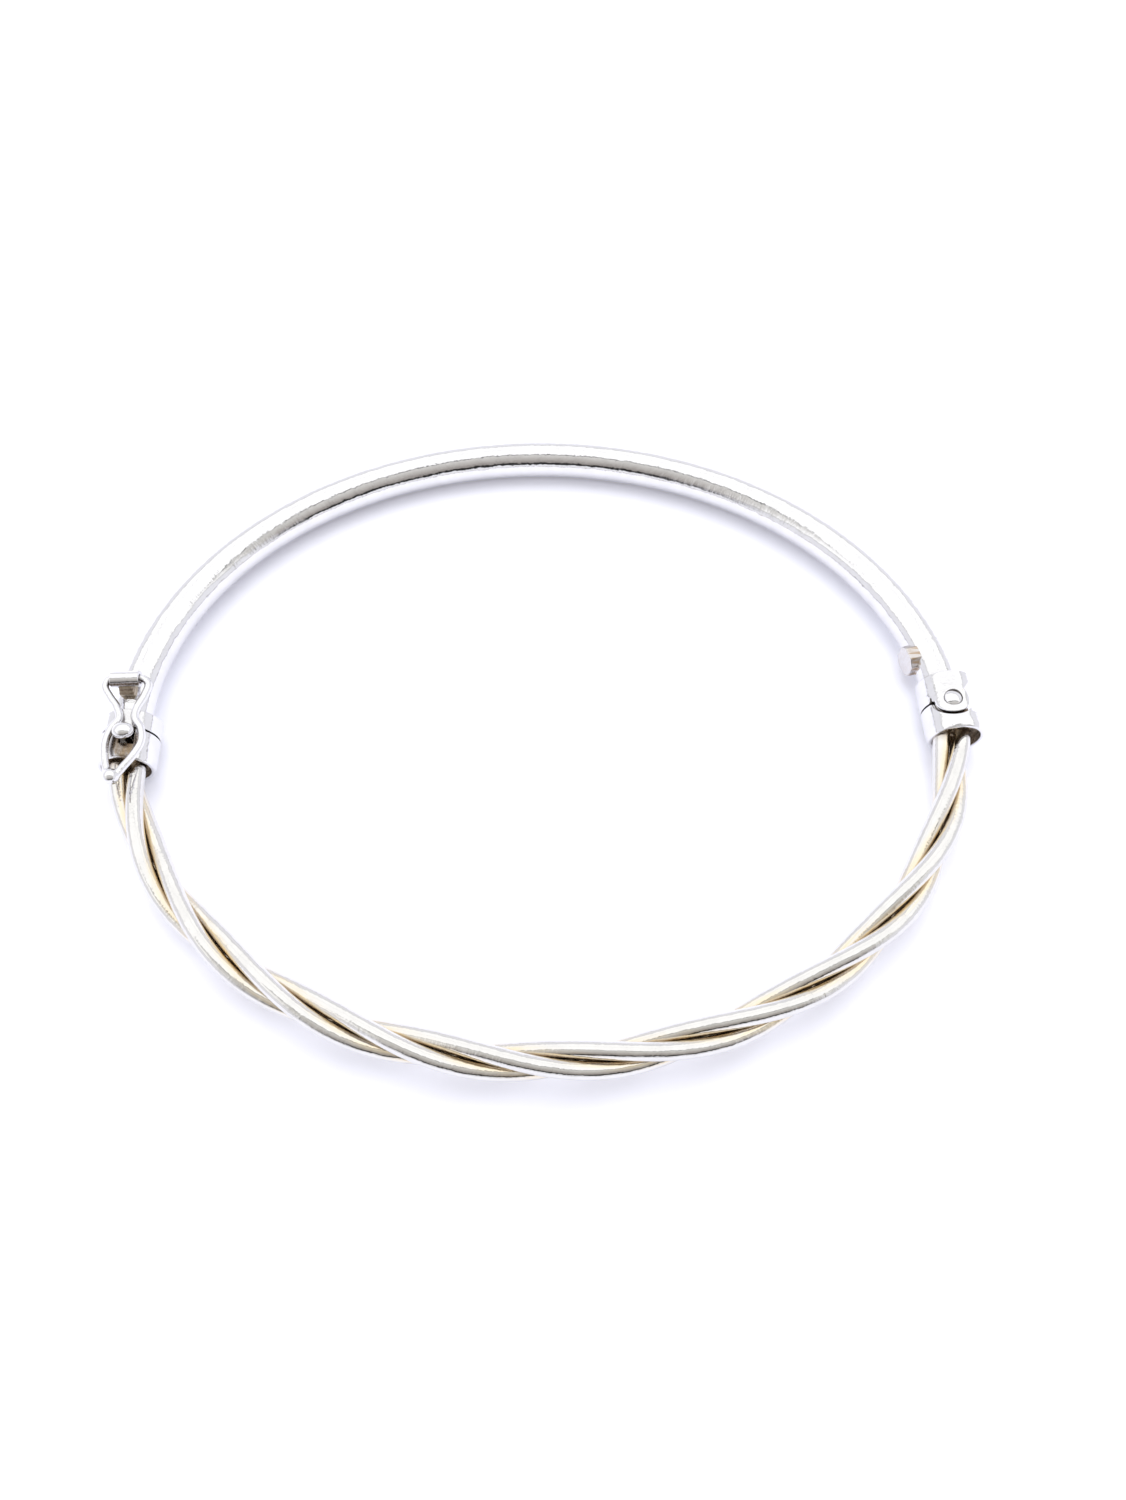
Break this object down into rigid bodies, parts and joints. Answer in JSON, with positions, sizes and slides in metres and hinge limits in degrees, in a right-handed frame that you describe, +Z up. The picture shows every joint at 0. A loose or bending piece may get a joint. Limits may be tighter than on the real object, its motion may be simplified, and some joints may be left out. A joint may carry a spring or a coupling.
{
  "type": "hinged bangle bracelet",
  "caption": "Oval hinged silver bangle: plain tube half and twisted wire half, pinned hinge, snap tongue clasp with thumb knob and figure-eight safety catch.",
  "frame": {"origin": "middle of the base of the bangle lying flat, where its ferrules rest", "axes": "+X from the clasp to the hinge, +Y towards the plain tube half, +Z up through the wrist opening"},
  "size_m": [0.0674, 0.0558, 0.0056],
  "materials": {
    "polished_silver": "mirror polished sterling silver, fine handling scratches",
    "rope_wire_silver": "polished silver wire, warm tarnish in the valleys of the twist",
    "worn_silver": "silver with a softer, rubbed shine",
    "tarnished_silver": "solder and silver with brown tarnish",
    "spring_silver": "rolled spring silver strip, lightly rubbed"
  },
  "bodies": {
    "rear_half": {"rear_tube": "polished_silver", "rear_clasp_ferrule": "polished_silver", "clasp_face_plate": "worn_silver", "rear_hinge_ferrule": "polished_silver", "hinge_pin": "worn_silver", "makers_plate": "worn_silver", "catch_barrel": "polished_silver", "catch_bracket": "tarnished_silver"},
    "front_half": {"front_clasp_ferrule": "polished_silver", "front_hinge_ferrule": "polished_silver", "rope_wire_1": "rope_wire_silver", "rope_wire_2": "rope_wire_silver", "rope_wire_3": "rope_wire_silver", "clasp_solder_plug": "tarnished_silver", "hinge_solder_plug": "tarnished_silver", "tongue_base": "spring_silver"},
    "thumb_catch": {"tongue_spring_leaf": "spring_silver", "thumb_knob": "polished_silver"},
    "safety_catch": {"catch_wire": "polished_silver", "catch_tip_ball": "polished_silver"}
  },
  "joints": [
    {"name": "bangle_hinge", "type": "hinge", "parent": "rear_half", "child": "front_half", "pos_m": [0.0312, -0.0009, 0.00219], "axis": [0, 0, 1], "range_deg": [0, 45]},
    {"name": "safety_catch_pivot", "type": "hinge", "parent": "rear_half", "child": "safety_catch", "pos_m": [-0.03165, 0.0031, 0.00464], "axis": [-1, 0, 0], "range_deg": [0, 150]},
    {"name": "thumb_knob_press", "type": "hinge", "parent": "front_half", "child": "thumb_catch", "pos_m": [-0.0315, 0.001, 0.00195], "axis": [1, 0, 0], "range_deg": [0, 6], "stiffness_Nm_per_rad": 0.076}
  ]
}
